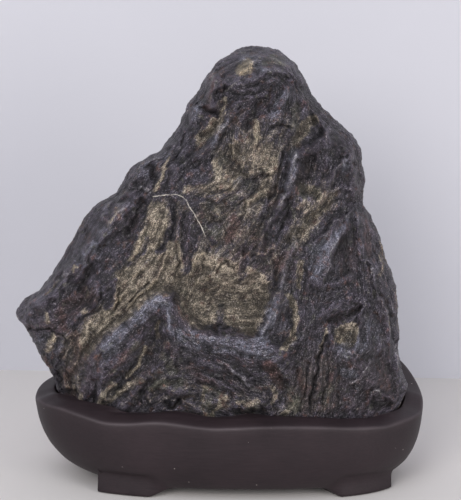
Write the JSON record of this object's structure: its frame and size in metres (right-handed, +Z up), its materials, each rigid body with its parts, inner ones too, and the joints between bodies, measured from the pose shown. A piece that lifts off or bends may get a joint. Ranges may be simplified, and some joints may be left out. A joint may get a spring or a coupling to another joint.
{
  "type": "scholars rock on a carved stand",
  "caption": "Dark layered viewing stone with a domed crown and clay-tan hollows, seated upright in a low boat-shaped carved hardwood stand with feet.",
  "frame": {"origin": "middle of the bounding box's footprint, level with the soles of the stand's feet", "axes": "+X along the stand to the viewer's right, +Y away from the viewer, +Z up through the stone's crown"},
  "size_m": [0.2259, 0.106, 0.2403],
  "materials": {
    "stone": "satin",
    "stand": "matte"
  },
  "bodies": {
    "root": {"stone": "stone", "stand": "stand"}
  },
  "joints": []
}
